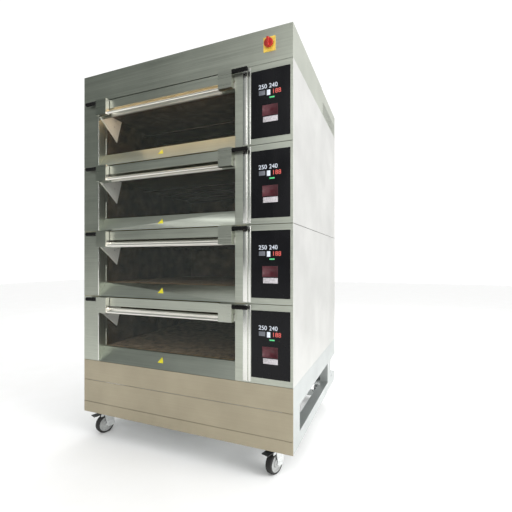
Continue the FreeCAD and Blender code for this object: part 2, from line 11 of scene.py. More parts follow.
import bpy
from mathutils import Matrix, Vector


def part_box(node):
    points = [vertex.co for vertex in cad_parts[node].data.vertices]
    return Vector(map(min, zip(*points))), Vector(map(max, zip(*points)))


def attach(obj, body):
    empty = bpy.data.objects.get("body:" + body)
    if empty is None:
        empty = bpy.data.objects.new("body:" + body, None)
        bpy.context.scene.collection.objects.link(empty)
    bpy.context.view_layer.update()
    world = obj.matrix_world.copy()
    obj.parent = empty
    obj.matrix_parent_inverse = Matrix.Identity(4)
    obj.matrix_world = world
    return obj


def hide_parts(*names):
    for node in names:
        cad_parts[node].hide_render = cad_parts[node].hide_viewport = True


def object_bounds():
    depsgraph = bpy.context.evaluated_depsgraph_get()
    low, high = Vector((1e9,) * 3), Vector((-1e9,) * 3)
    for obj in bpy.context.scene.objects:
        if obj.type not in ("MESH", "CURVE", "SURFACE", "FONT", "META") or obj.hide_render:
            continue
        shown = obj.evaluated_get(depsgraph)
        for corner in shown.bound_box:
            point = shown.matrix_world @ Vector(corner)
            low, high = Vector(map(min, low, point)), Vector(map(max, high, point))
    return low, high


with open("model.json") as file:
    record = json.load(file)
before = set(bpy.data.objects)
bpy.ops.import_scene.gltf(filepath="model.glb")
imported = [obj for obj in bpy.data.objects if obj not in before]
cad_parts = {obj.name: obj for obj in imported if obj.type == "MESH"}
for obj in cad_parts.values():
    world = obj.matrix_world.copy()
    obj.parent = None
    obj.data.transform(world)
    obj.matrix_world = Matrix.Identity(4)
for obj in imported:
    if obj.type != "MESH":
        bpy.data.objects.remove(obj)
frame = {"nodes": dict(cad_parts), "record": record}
cad_low, cad_high = [list(corner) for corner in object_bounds()]
nodes = frame["nodes"]
DECKS = (1, 2, 3, 4)
MM = 0.001
front_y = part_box("hood")[0][1]
print("nodes", len(nodes), "box", cad_low, cad_high)

# %% [markdown]
# Colours are picked as sRGB hex values. A shader works on linear light, so one
# function turns them. One more function adds a node, sets its sockets and makes
# its links, so each finish below reads as a short list.

# %% Colour and node helpers
def linear(code):
    """A six-digit sRGB hex colour as linear RGBA."""
    parts = [int(code[i : i + 2], 16) / 255 for i in (0, 2, 4)]
    return [p / 12.92 if p <= 0.04045 else ((p + 0.055) / 1.055) ** 2.4 for p in parts] + [1.0]


def add_node(material, kind, values=None, links=None, **settings):
    """Add one shader node; values set sockets, links feed sockets from other sockets."""
    tree = material.node_tree
    node = tree.nodes.new(kind)
    for name, value in settings.items():
        setattr(node, name, value)
    for name, value in (values or {}).items():
        node.inputs[name].default_value = value
    for name, source in (links or {}).items():
        tree.links.new(source, node.inputs[name])
    return node


def new_material(name, **sockets):
    """A material with one Principled shader, its plain sockets set."""
    material = bpy.data.materials.new(name)
    material.use_nodes = True
    material.node_tree.nodes.clear()
    shader = add_node(material, "ShaderNodeBsdfPrincipled", values=sockets)
    add_node(material, "ShaderNodeOutputMaterial", links={"Surface": shader.outputs["BSDF"]})
    return material, shader


def object_place(material, stretch=(1, 1, 1)):
    """Object coordinates in metres, scaled on each axis."""
    spot = add_node(material, "ShaderNodeTexCoord")
    return add_node(
        material,
        "ShaderNodeMapping",
        values={"Scale": stretch},
        links={"Vector": spot.outputs["Object"]},
    ).outputs["Vector"]


def ramp(material, source, stops):
    """A colour ramp over (position, hex colour) stops."""
    node = add_node(material, "ShaderNodeValToRGB", links={"Fac": source})
    band = node.color_ramp
    while len(band.elements) < len(stops):
        band.elements.new(0.5)
    for element, (position, code) in zip(band.elements, stops):
        element.position = position
        element.color = linear(code)
    return node.outputs["Color"]


def darker(code, share):
    """A hex colour with each channel cut to a share of itself."""
    return "".join(f"{round(int(code[start:start + 2], 16) * share):02x}" for start in (0, 2, 4))


def patchy(material, code, size, share=0.85):
    """A colour that drifts a little darker over patches of a real size."""
    patches = add_node(
        material,
        "ShaderNodeTexNoise",
        values={"Scale": 1 / size, "Detail": 4.0},
        links={"Vector": object_place(material)},
    )
    return ramp(material, patches.outputs["Fac"], [(0.35, darker(code, share)), (0.65, code)])


def join(material, shader, **links):
    """Feed a shader's sockets; underscores in a name stand for spaces."""
    for name, source in links.items():
        material.node_tree.links.new(source, shader.inputs[name.replace("_", " ")])


# %% [markdown]
# ## Brushed stainless steel
# The casing is AISI 304 sheet with a belt-ground grain. The grain is fine
# parallel scratches about a tenth of a millimetre apart, which blur reflections
# across the grain and leave soft streaks. Scratches that fine vanish in a
# picture, so the streaks are drawn a few millimetres apart and up to half a
# metre long. Wide, faint clouds of grease and cleaning marks break the sheet up.
# Two pieces have zones of their own tone: the brackets at a door's ends are
# duller than its bar, and the base frame is warmer on its front than behind it.

# %% Brushed stainless steel
STREAK_ACROSS = 3 * MM
STREAK_ALONG = 450 * MM
CLOUD = 260 * MM


def brushed_steel(name, code, rough, grain="X", dark=0.82, metallic=1.0):
    along = {"X": 0, "Y": 1, "Z": 2}[grain]
    scale = [1 / STREAK_ACROSS] * 3
    scale[along] = 1 / STREAK_ALONG
    steel, shader = new_material(name, Metallic=metallic, Roughness=rough)
    streaks = add_node(
        steel,
        "ShaderNodeTexNoise",
        values={"Scale": 1.0, "Detail": 3.0, "Roughness": 0.6},
        links={"Vector": object_place(steel, scale)},
    )
    clouds = add_node(
        steel,
        "ShaderNodeTexNoise",
        values={"Scale": 1 / CLOUD, "Detail": 4.0, "Roughness": 0.55},
        links={"Vector": object_place(steel)},
    )
    tone = add_node(
        steel,
        "ShaderNodeMapRange",
        values={"From Min": 0.3, "From Max": 0.7, "To Min": dark, "To Max": 1.0},
        links={"Value": streaks.outputs["Fac"]},
    )
    wash = add_node(
        steel,
        "ShaderNodeMapRange",
        values={"From Min": 0.3, "From Max": 0.7, "To Min": 0.9, "To Max": 1.06},
        links={"Value": clouds.outputs["Fac"]},
    )
    both = add_node(
        steel,
        "ShaderNodeMath",
        operation="MULTIPLY",
        links={0: tone.outputs["Result"], 1: wash.outputs["Result"]},
    )
    shade = add_node(
        steel,
        "ShaderNodeMix",
        data_type="RGBA",
        blend_type="MULTIPLY",
        values={"Factor": 1.0, "A": linear(code)},
    )
    steel.node_tree.links.new(both.outputs["Value"], shade.inputs["B"])
    gloss = add_node(
        steel,
        "ShaderNodeMapRange",
        values={"From Min": 0.25, "From Max": 0.75, "To Min": rough - 0.06, "To Max": rough + 0.08},
        links={"Value": streaks.outputs["Fac"]},
    )
    scratch = add_node(
        steel,
        "ShaderNodeBump",
        values={"Strength": 0.05, "Distance": 0.2 * MM},
        links={"Height": streaks.outputs["Fac"]},
    )
    join(
        steel,
        shader,
        Base_Color=shade.outputs["Result"],
        Roughness=gloss.outputs["Result"],
        Normal=scratch.outputs["Normal"],
    )
    return steel


def two_tone(steel, axis, centre, reach, inside, outside):
    """One tone within a reach of a plane across an axis, another beyond it."""
    shade = next(node for node in steel.node_tree.nodes if node.type == "MIX")
    place = add_node(
        steel,
        "ShaderNodeSeparateXYZ",
        links={"Vector": object_place(steel)},
    ).outputs[axis]
    offset = add_node(
        steel,
        "ShaderNodeMath",
        operation="SUBTRACT",
        values={1: centre},
        links={0: place},
    )
    distance = add_node(steel, "ShaderNodeMath", operation="ABSOLUTE", links={0: offset.outputs["Value"]})
    beyond = add_node(
        steel,
        "ShaderNodeMath",
        operation="GREATER_THAN",
        values={1: reach},
        links={0: distance.outputs["Value"]},
    )
    tone = add_node(
        steel,
        "ShaderNodeMix",
        data_type="RGBA",
        values={"A": linear(inside), "B": linear(outside)},
        links={"Factor": beyond.outputs["Value"]},
    )
    steel.node_tree.links.new(tone.outputs["Result"], shade.inputs["A"])


casing_steel = brushed_steel("brushed_stainless_casing", "bbbfb3", 0.38)
side_steel = brushed_steel("brushed_stainless_sides", "d2d2cf", 0.42, grain="Z", dark=0.93)
door_steel = brushed_steel("satin_stainless_door", "f4f2ea", 0.3, dark=0.95)
door_left, door_right = [corner[0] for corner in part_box("deck_1_door_rail")]
BRACKET_ZONE = 75 * MM
two_tone(
    door_steel,
    "X",
    (door_left + door_right) / 2,
    (door_right - door_left) / 2 - BRACKET_ZONE,
    "f4f2ea",
    "b2b5aa",
)
skirt_steel = brushed_steel("brushed_stainless_skirt", "ada48f", 0.42, dark=0.9)
frame_steel = brushed_steel("brushed_stainless_frame", "ada48f", 0.42, dark=0.9)
FRONT_SKIN = 3 * MM
two_tone(frame_steel, "Y", front_y, FRONT_SKIN, "ada48f", "c6cac9")
trim_steel = brushed_steel("polished_stainless_trim", "e4e4df", 0.22, grain="Z", dark=0.95)
sill_steel = brushed_steel("brushed_stainless_sill", "b9beb3", 0.4)
# Bearing plates: the near-white, barely metallic colour is partly the plates' own bright zinc coating and
# partly painted light, which keeps them bright in the shade of the reveal.
bearing_painted_bright = brushed_steel("zinc_bearing_plate_painted_bright", "ecece4", 0.5, dark=0.97, metallic=0.1)

# %% [markdown]
# ## Heat-marked steel, stone and wool
# Inside, the chamber is aluminised sheet that has browned in use. The hearth is
# a cordierite-like refractory slab, matt, buff and speckled, with darker baked
# patches. The elements are dark oxidised alloy tube.

# %% Chamber, hearth, element and wool finishes
def mottled(name, stops, size, rough, metallic=0.0, bump=0.3, depth=0.3 * MM):
    """A matt finish whose colour wanders over patches of a real size."""
    material, shader = new_material(name, Metallic=metallic, Roughness=rough)
    patches = add_node(
        material,
        "ShaderNodeTexNoise",
        values={"Scale": 1 / size, "Detail": 8.0, "Roughness": 0.65},
        links={"Vector": object_place(material)},
    )
    grit = add_node(
        material,
        "ShaderNodeBump",
        values={"Strength": bump, "Distance": depth},
        links={"Height": patches.outputs["Fac"]},
    )
    join(
        material,
        shader,
        Base_Color=ramp(material, patches.outputs["Fac"], stops),
        Normal=grit.outputs["Normal"],
    )
    return material


liner_steel = mottled(
    "heat_browned_liner", [(0.3, "3a3029"), (0.5, "5c4c3c"), (0.7, "7a6953")], 60 * MM, 0.5, 0.85
)
hearth_stone = mottled(
    "refractory_hearth", [(0.3, "4b4036"), (0.5, "8b7860"), (0.72, "ab9779")], 35 * MM, 0.9, bump=0.5
)
element_steel = mottled(
    "oxidised_element_tube", [(0.35, "2a2420"), (0.65, "4a4038")], 12 * MM, 0.55, 0.7
)
mineral_wool = mottled(
    "mineral_wool", [(0.3, "7d7040"), (0.7, "b5a66c")], 4 * MM, 1.0, bump=0.9, depth=1.5 * MM
)
case_paint = mottled(
    "grey_powder_coat", [(0.4, "4c4e52"), (0.6, "585a5e")], 1.5 * MM, 0.55, bump=0.15
)

# %% [markdown]
# ## Glass, plastic and rubber
# The door panes are clear toughened glass, slightly green and smeared with
# flour and grease. The control panels are black back-painted glass. Grips are
# moulded phenolic with a fine matt texture, the switch is semi-gloss ABS, and
# the tyres are black rubber with a dusty tread. Lamps and displays give off a
# little light that isn't quite even.

# %% Glass and moulded finishes
def glass(name, code, rough, alpha, shine=0.5):
    """A glass sheet, clear or backed; smears make it rougher in patches."""
    pane, shader = new_material(
        name,
        **{"Roughness": rough, "IOR": 1.5, "Alpha": alpha, "Specular IOR Level": shine},
    )
    smear = add_node(
        pane,
        "ShaderNodeTexNoise",
        values={"Scale": 1 / (90 * MM), "Detail": 5.0},
        links={"Vector": object_place(pane, (1, 1, 0.5))},
    )
    haze = add_node(
        pane,
        "ShaderNodeMapRange",
        values={"From Min": 0.35, "From Max": 0.75, "To Min": rough, "To Max": rough + 0.25},
        links={"Value": smear.outputs["Fac"]},
    )
    join(
        pane,
        shader,
        Base_Color=patchy(pane, code, 40 * MM, 0.9),
        Roughness=haze.outputs["Result"],
    )
    return pane


def moulded(name, code, rough, grain=0.6 * MM, bump=0.12, shine=0.5):
    """Moulded plastic or rubber with a fine leathery grain."""
    plastic, shader = new_material(name, **{"Roughness": rough, "Specular IOR Level": shine})
    pits = add_node(
        plastic,
        "ShaderNodeTexVoronoi",
        values={"Scale": 1 / grain},
        links={"Vector": object_place(plastic)},
    )
    dust = add_node(
        plastic,
        "ShaderNodeTexNoise",
        values={"Scale": 1 / (18 * MM), "Detail": 4.0},
        links={"Vector": object_place(plastic)},
    )
    wear = add_node(
        plastic,
        "ShaderNodeMapRange",
        values={"From Min": 0.3, "From Max": 0.8, "To Min": rough - 0.08, "To Max": rough + 0.12},
        links={"Value": dust.outputs["Fac"]},
    )
    skin = add_node(
        plastic,
        "ShaderNodeBump",
        values={"Strength": bump, "Distance": 0.1 * MM},
        links={"Height": pits.outputs["Distance"]},
    )
    join(
        plastic,
        shader,
        Base_Color=ramp(plastic, dust.outputs["Fac"], [(0.35, darker(code, 0.88)), (0.65, code)]),
        Roughness=wear.outputs["Result"],
        Normal=skin.outputs["Normal"],
    )
    return plastic


door_glass = glass("toughened_door_glass", "5d625c", 0.03, 0.1)


def glowing(name, code, strength, size, rough=0.4):
    """A finish that gives off a little uneven light of its own colour."""
    material, shader = new_material(name, **{"Roughness": rough, "Emission Strength": strength})
    colour = patchy(material, code, size)
    join(material, shader, Base_Color=colour, Emission_Color=colour)
    return material


lit_lamp = glowing("frosted_lamp_glass_lit", "ffd9a4", 9.0, 6 * MM, 0.25)
dark_lamp = glowing("frosted_lamp_glass_off", "6f6a60", 0.0, 6 * MM, 0.25)
panel_glass = glass("black_control_glass", "0c0c10", 0.16, 1.0, 0.2)
black_phenolic = moulded("black_phenolic_grip", "070707", 0.55, shine=0.15)
yellow_abs = moulded("yellow_abs", "f3cf58", 0.35)
red_abs = moulded("red_abs", "b5231a", 0.35)
black_nylon = moulded("black_nylon", "1c1c1d", 0.45)
tyre_rubber = moulded("caster_tyre_rubber", "1d1c1b", 0.7, grain=0.9 * MM, bump=0.25)
zinc_plate = mottled(
    "bright_zinc_plate", [(0.35, "a2a4a4"), (0.65, "cfd2d2")], 9 * MM, 0.3, 1.0, bump=0.05
)
fork_zinc = mottled(
    "satin_zinc_fork", [(0.35, "c2c4c3"), (0.65, "e4e6e5")], 9 * MM, 0.35, 0.6, bump=0.05
)

# %% [markdown]
# ## Give the CAD nodes their finishes
# A CAD node keeps its mesh and only gets a material.

# %% Assign finishes
FINISH = {
    "base_frame": frame_steel,
    "front_skirt": skirt_steel,
    "hood": casing_steel,
    "rear_top": casing_steel,
    "rear_cover": casing_steel,
    "door_bearings": bearing_painted_bright,
    "heating_elements": element_steel,
    "oven_lamps": dark_lamp,
    "insulation": mineral_wool,
    "control_boxes": case_paint,
    "switch_plate": yellow_abs,
    "switch_knob": red_abs,
    "cable_gland": black_nylon,
    "caster_plates": zinc_plate,
}
PREFIXES = (
    ("left_", side_steel),
    ("right_", side_steel),
    ("caster_fork", fork_zinc),
    ("caster_wheel", tyre_rubber),
    ("brake_pedal", black_nylon),
)
DECK_FINISH = {
    "front": casing_steel,
    "sill": sill_steel,
    "chamber": liner_steel,
    "hearth": hearth_stone,
    "control_panel": panel_glass,
    "door_rail": door_steel,
    "door_glass": door_glass,
    "grips": black_phenolic,
}
for deck in DECKS:
    for kind, finish in DECK_FINISH.items():
        FINISH[f"deck_{deck}_{kind}"] = finish


def finish_of(name):
    if name in FINISH:
        return FINISH[name]
    return next(finish for start, finish in PREFIXES if name.startswith(start))


for name, thing in nodes.items():
    thing.data.materials.clear()
    thing.data.materials.append(finish_of(name))
print("finished", len(nodes), "nodes")

# %% [markdown]
# Sheet metal is bent over a radius and cut edges are deburred, so no edge is
# sharp. A weld modifier joins the triangles of a CAD node and a bevel modifier
# rounds its edges, without touching the mesh itself. The soft edges catch thin
# highlights, and they let the joints between sheets show as fine dark lines.

# %% Softened sheet edges
EDGE_MM = {"front_skirt": 1.2, "base_frame": 1.2, "hood": 1.0, "rear_top": 1.0, "door_bearings": 0.8}
for name, thing in nodes.items():
    radius = EDGE_MM.get(name, 0.7 if name.endswith(("_panel", "_front", "_rail", "_sill")) else 0)
    if radius == 0 or "control" in name:
        continue
    weld = thing.modifiers.new("weld", "WELD")
    weld.merge_threshold = 0.01 * MM
    soft = thing.modifiers.new("soft_edges", "BEVEL")
    soft.width = radius * MM
    soft.segments = 2
    soft.limit_method = "ANGLE"
    soft.angle_limit = math.radians(40)
    soft.harden_normals = False
print("edges softened")

# %% [markdown]
# ## Tools for the made parts
# A few small functions model everything below. `turn_up` draws a turned part
# ring by ring from a circle, as a lathe would. `plate` starts from a box and
# rounds its edges, because folded and moulded edges are never knife sharp.
# `press` sinks or raises a panel on one side by an inset. `finish_piece` smooths
# the part, gives it a finish and hangs it on the body it moves with.

# %% Modelling helpers
def fresh():
    """Leave edit mode with nothing selected."""
    if bpy.context.object and bpy.context.object.mode != "OBJECT":
        bpy.ops.object.mode_set(mode="OBJECT")
    bpy.ops.object.select_all(action="DESELECT")


def turn_up(name, rings, sides=48):
    """A turned part about Z from (height, radius) rings; closed rings make a tube."""
    fresh()
    tube = rings[0] == rings[-1]
    height, radius = rings[0]
    bpy.ops.mesh.primitive_circle_add(
        vertices=sides,
        radius=radius,
        fill_type="NOTHING" if tube else "NGON",
        location=(0, 0, height),
    )
    piece = bpy.context.object
    piece.name = name
    bpy.ops.object.transform_apply(location=True)
    bpy.ops.object.mode_set(mode="EDIT")
    bpy.ops.mesh.select_mode(type="VERT")
    bpy.ops.mesh.select_all(action="SELECT")
    for next_height, next_radius in rings[1:]:
        bpy.ops.mesh.extrude_region_move(TRANSFORM_OT_translate={"value": (0, 0, next_height - height)})
        grow = next_radius / radius
        bpy.ops.transform.resize(value=(grow, grow, 1), center_override=(0, 0, next_height))
        height, radius = next_height, next_radius
    bpy.ops.mesh.select_all(action="SELECT")
    bpy.ops.mesh.remove_doubles(threshold=1e-6)
    bpy.ops.mesh.normals_make_consistent(inside=False)
    bpy.ops.object.mode_set(mode="OBJECT")
    return piece


def plate(name, low, high, edge=0.4 * MM, steps=2):
    """A box between two corners with rounded edges."""
    fresh()
    size = [b - a for a, b in zip(low, high)]
    bpy.ops.mesh.primitive_cube_add(size=1, location=[(a + b) / 2 for a, b in zip(low, high)])
    piece = bpy.context.object
    piece.name = name
    piece.scale = size
    bpy.ops.object.transform_apply(location=True, scale=True)
    bpy.ops.object.mode_set(mode="EDIT")
    bpy.ops.mesh.select_all(action="SELECT")
    bpy.ops.mesh.bevel(offset=edge, segments=steps, affect="EDGES")
    bpy.ops.object.mode_set(mode="OBJECT")
    return piece


def press(piece, normal, inset, depth):
    """Inset the largest face looking along a normal, then move it along that normal."""
    fresh()
    bpy.context.view_layer.objects.active = piece
    piece.select_set(True)
    for kind in (piece.data.vertices, piece.data.edges, piece.data.polygons):
        for item in kind:
            item.select = False
    way = Vector(normal)
    facing = [face for face in piece.data.polygons if face.normal.dot(way) > 0.99]
    max(facing, key=lambda face: face.area).select = True
    bpy.ops.object.mode_set(mode="EDIT")
    bpy.ops.mesh.select_mode(type="FACE")
    bpy.ops.mesh.inset(thickness=inset)
    bpy.ops.mesh.extrude_region_move(TRANSFORM_OT_translate={"value": way * depth})
    bpy.ops.object.mode_set(mode="OBJECT")


def merge(name, parts):
    """Join several meshes into one piece."""
    fresh()
    for part in parts:
        part.select_set(True)
    bpy.context.view_layer.objects.active = parts[0]
    bpy.ops.object.join()
    parts[0].name = name
    return parts[0]


def copy_at(piece, place, turn=(0, 0, 0)):
    """A copy with its own mesh, turned and moved, its place applied to the mesh."""
    fresh()
    twin = piece.copy()
    twin.data = piece.data.copy()
    bpy.context.scene.collection.objects.link(twin)
    twin.rotation_euler = turn
    twin.location = place
    twin.select_set(True)
    bpy.context.view_layer.objects.active = twin
    bpy.ops.object.transform_apply(location=True, rotation=True, scale=True)
    return twin


def drop(piece):
    """Delete a master that has been copied."""
    bpy.data.objects.remove(piece, do_unlink=True)


def finish_piece(piece, finish, body, stands_for=()):
    """Smooth a piece and give it its finish, body and material slot."""
    fresh()
    piece.select_set(True)
    bpy.context.view_layer.objects.active = piece
    bpy.ops.object.shade_smooth_by_angle(angle=math.radians(35))
    piece.data.materials.clear()
    piece.data.materials.append(finish)
    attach(piece, body)
    if stands_for:
        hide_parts(*stands_for)
    return piece


joints = {joint["name"]: joint for joint in frame["record"]["behaviour"]["joints"]}
AXIS_X = (0, math.radians(90), 0)
AXIS_FRONT = (math.radians(90), 0, 0)
AXIS_BACK = (math.radians(-90), 0, 0)

# %% [markdown]
# ## Grips
# Each door is pulled by two moulded black grips. A grip is a turned shape with
# a soft outer end and four shallow finger grooves, drawn once and copied.

# %% Grips
grip_low, grip_high = [Vector(corner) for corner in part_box("deck_1_grips")]
grip_radius = (grip_high.z - grip_low.z) / 2
GRIP_OVERLAP = 5 * MM
GROOVE_START, GROOVE_PITCH, GROOVE_DEPTH = 14, 14, 1.2 * MM
grip_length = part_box("deck_1_door_rail")[0][0] - grip_low.x + GRIP_OVERLAP
rings = [(0, grip_radius * 0.55), (1.2 * MM, grip_radius * 0.85), (4 * MM, grip_radius)]
for groove in range(4):
    start = (GROOVE_START + GROOVE_PITCH * groove) * MM
    rings += [(start, grip_radius), (start + 2 * MM, grip_radius - GROOVE_DEPTH)]
    rings += [(start + 5 * MM, grip_radius - GROOVE_DEPTH), (start + 7 * MM, grip_radius)]
rings += [(grip_length - 2 * MM, grip_radius), (grip_length, grip_radius - 2 * MM)]
grip = turn_up("grip_master", rings, 32)
for deck in DECKS:
    low, high = [Vector(corner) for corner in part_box(f"deck_{deck}_grips")]
    middle = (low + high) / 2
    pair = [
        copy_at(grip, (low.x, middle.y, middle.z), AXIS_X),
        copy_at(grip, (high.x, middle.y, middle.z), (0, math.radians(-90), 0)),
    ]
    pair = merge(f"deck_{deck}_grip_pair", pair)
    finish_piece(pair, black_phenolic, f"door_{deck}", [f"deck_{deck}_grips"])
drop(grip)
print("grips", round(grip_length / MM), "mm long, radius", round(grip_radius / MM, 1))

# %% [markdown]
# ## Caster wheels
# A wheel is a moulded core with a raised hub, and a rubber tyre with rounded
# shoulders on it. Both are turned tubes, so the axle passes through the core.

# %% Caster wheels
WHEEL = (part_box("caster_wheel_rear_left")[1][2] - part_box("caster_wheel_rear_left")[0][2]) / 2
HALF = 16 * MM
RIM = WHEEL - 11 * MM
AXLE_HOLE = 6.3 * MM
tyre_rings = [(-HALF, RIM), (-HALF, WHEEL - 5 * MM), (-HALF + 1.5 * MM, WHEEL - 2 * MM)]
tyre_rings += [(-HALF + 5 * MM, WHEEL), (HALF - 5 * MM, WHEEL), (HALF - 1.5 * MM, WHEEL - 2 * MM)]
tyre_rings += [(HALF, WHEEL - 5 * MM), (HALF, RIM), (-HALF, RIM)]
core_rings = [(-HALF - 2 * MM, AXLE_HOLE), (-HALF - 2 * MM, 15 * MM), (-HALF - 1 * MM, 17 * MM)]
core_rings += [(-HALF + 5 * MM, 20 * MM), (-HALF + 5 * MM, RIM - 5 * MM), (-HALF + 1 * MM, RIM - 3 * MM)]
core_rings += [(-HALF + 0.5 * MM, RIM), (HALF - 0.5 * MM, RIM), (HALF - 1 * MM, RIM - 3 * MM)]
core_rings += [(HALF - 5 * MM, RIM - 5 * MM), (HALF - 5 * MM, 20 * MM), (HALF + 1 * MM, 17 * MM)]
core_rings += [(HALF + 2 * MM, 15 * MM), (HALF + 2 * MM, AXLE_HOLE), (-HALF - 2 * MM, AXLE_HOLE)]
tyre = turn_up("tyre_master", tyre_rings, 64)
core = turn_up("core_master", core_rings, 64)
grey_nylon = moulded("grey_nylon_core", "a9aba9", 0.45)
for corner in ("front_left", "front_right", "rear_left", "rear_right"):
    joint = joints[f"wheel_spin_{corner}"]
    turn = Vector(joint["axis"]).to_track_quat("Z", "Y").to_euler()
    body = f"wheel_{corner}"
    node = f"caster_wheel_{corner}"
    low, high = [Vector(box_corner) for box_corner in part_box(node)]
    centre = (low + high) / 2
    finish_piece(
        merge(f"caster_tyre_{corner}", [copy_at(tyre, centre, turn)]),
        tyre_rubber, body, [node],
    )
    finish_piece(
        merge(f"caster_core_{corner}", [copy_at(core, centre, turn)]),
        grey_nylon, body, [node],
    )
drop(tyre)
drop(core)
print("wheel radius", round(WHEEL / MM, 1), "mm")

# %% [markdown]
# ## Lamps
# A narrow frosted lamp glass runs across each chamber's ceiling behind the
# door. Only the top deck's lamp is alight.

# %% Lamp glasses
lamp_low, lamp_high = [Vector(corner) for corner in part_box("oven_lamps")]
LAMP_TALL, LAMP_GAP = 10 * MM, 2 * MM
for deck in DECKS:
    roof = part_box(f"deck_{deck}_chamber")[1][2] - LAMP_GAP
    glass_bar = plate(
        f"deck_{deck}_lamp_glass",
        (lamp_low.x, lamp_low.y, roof - LAMP_TALL),
        (lamp_high.x, lamp_high.y, roof),
        3 * MM,
        4,
    )
    finish_piece(glass_bar, lit_lamp if deck == 4 else dark_lamp, "oven", ["oven_lamps"])
print("lamp glass", round((lamp_high.x - lamp_low.x) / MM), "mm long")

# %% [markdown]
# ## Control panels
# Behind the black glass sit number displays, a few symbols and a dark red
# display with a pale label strip under it. They glow a little, so they are thin
# raised parts with a weak emission.

# %% Panel displays
LED = 2 * MM
white_led = glowing("white_display_digit", "cdd3dd", 0.5, LED)
red_led = glowing("red_display_digit", "cf5a52", 0.6, LED)
green_led = glowing("green_display_bar", "4fbf7a", 0.5, LED)
grey_ink = glowing("grey_panel_ink", "6d7078", 0.05, LED)
dark_red = glowing("dark_red_display", "4c1420", 0.1, 8 * MM)
pale_strip = glowing("pale_label_strip", "c9c4c8", 0.05, 8 * MM)


def digits(name, text, x, z, face_y, height):
    """Raised figures standing on the panel's face."""
    fresh()
    bpy.ops.object.text_add(location=(0, 0, 0))
    words = bpy.context.object
    words.data.body = text
    words.data.size = height / 0.7
    words.data.extrude = 0.2 * MM
    words.name = name
    bpy.ops.object.convert(target="MESH")
    words = bpy.context.object
    words.rotation_euler = AXIS_FRONT
    words.location = (x, face_y, z)
    bpy.ops.object.transform_apply(location=True, rotation=True, scale=True)
    return words


for deck in DECKS:
    low, high = [Vector(corner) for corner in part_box(f"deck_{deck}_control_panel")]
    left_x, face, top_z = low.x, low.y - 0.15 * MM, high.z

    def raised(name, x0, x1, d0, d1, finish, edge=0.25):
        """A thin raised bar at millimetres from the panel's top left corner."""
        bar = plate(
            f"deck_{deck}_{name}",
            (left_x + x0 * MM, face - 0.4 * MM, top_z - d1 * MM),
            (left_x + x1 * MM, face + 0.2 * MM, top_z - d0 * MM),
            edge * MM,
        )
        return finish_piece(bar, finish, "oven")

    for name, text, x, drop_mm, tall, finish in (
        ("set_digits", "250", 36, 84, 19, white_led),
        ("time_digits", "240", 86, 84, 19, white_led),
        ("heat_digits", "188", 100, 112, 20, red_led),
    ):
        figures = digits(f"deck_{deck}_{name}", text, left_x + x * MM, top_z - drop_mm * MM, face, tall * MM)
        finish_piece(figures, finish, "oven")
    raised("left_key", 38, 68, 92, 112, grey_ink)
    raised("middle_key", 76, 92, 92, 116, white_led)
    raised("power_bar", 88, 112, 124, 130, green_led)
    screen = raised("red_display", 54, 127, 158, 206, dark_red)
    press(screen, (0, -1, 0), 2 * MM, -0.15 * MM)
    raised("label_strip", 58, 127, 210, 234, pale_strip)
print("panel parts", 8 * len(DECKS))

# %% [markdown]
# ## Bright edges round the mouth
# The sheet beside each mouth ends in polished folds that catch the light: two
# upright strips between the mouth and the panel, a narrow one at the left
# edge, and a flange deep in the left reveal under the bearing plate. Each is a
# folded strip two or three millimetres proud, and clear of the moving door.

# %% Mouth trims
JAMB_FOLD_X, PANEL_FOLD_X = (0.373, 0.395), (0.399, 0.411)
JAMB_PROUD, PANEL_PROUD, LEFT_PROUD = 2 * MM, 1.2 * MM, 1.5 * MM
BEARING_FOOT, FLANGE_FOOT = 186 * MM, 78 * MM
for deck in DECKS:
    low, high = [Vector(corner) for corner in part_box(f"deck_{deck}_front")]
    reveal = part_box(f"deck_{deck}_chamber")[0][1]
    mouth_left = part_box(f"deck_{deck}_hearth")[0][0]
    fold_z = (low.z + 6 * MM, high.z - 4 * MM)
    strips = (
        ("jamb_fold", JAMB_FOLD_X, (front_y - JAMB_PROUD, front_y), fold_z),
        ("panel_fold", PANEL_FOLD_X, (front_y - PANEL_PROUD, front_y), fold_z),
        (
            "left_fold",
            (mouth_left - 5 * MM, mouth_left),
            (front_y - LEFT_PROUD, front_y),
            (low.z + 4 * MM, high.z - 36 * MM),
        ),
        (
            "reveal_flange",
            (mouth_left, mouth_left + 3 * MM),
            (reveal - 10 * MM, reveal - 1 * MM),
            (low.z + FLANGE_FOOT, high.z - BEARING_FOOT),
        ),
    )
    for name, (x0, x1), (y0, y1), (z0, z1) in strips:
        strip = plate(f"deck_{deck}_{name}", (x0, y0, z0), (x1, y1, z1), 0.5 * MM, 3)
        finish_piece(strip, trim_steel, "oven")
print("mouth trims", 4 * len(DECKS))

# %% [markdown]
# ## Blank signs on the sills
# Each sill carries a small yellow triangle. It is left blank. It starts as a
# three-sided circle, is extruded to sheet thickness and gets rounded corners.

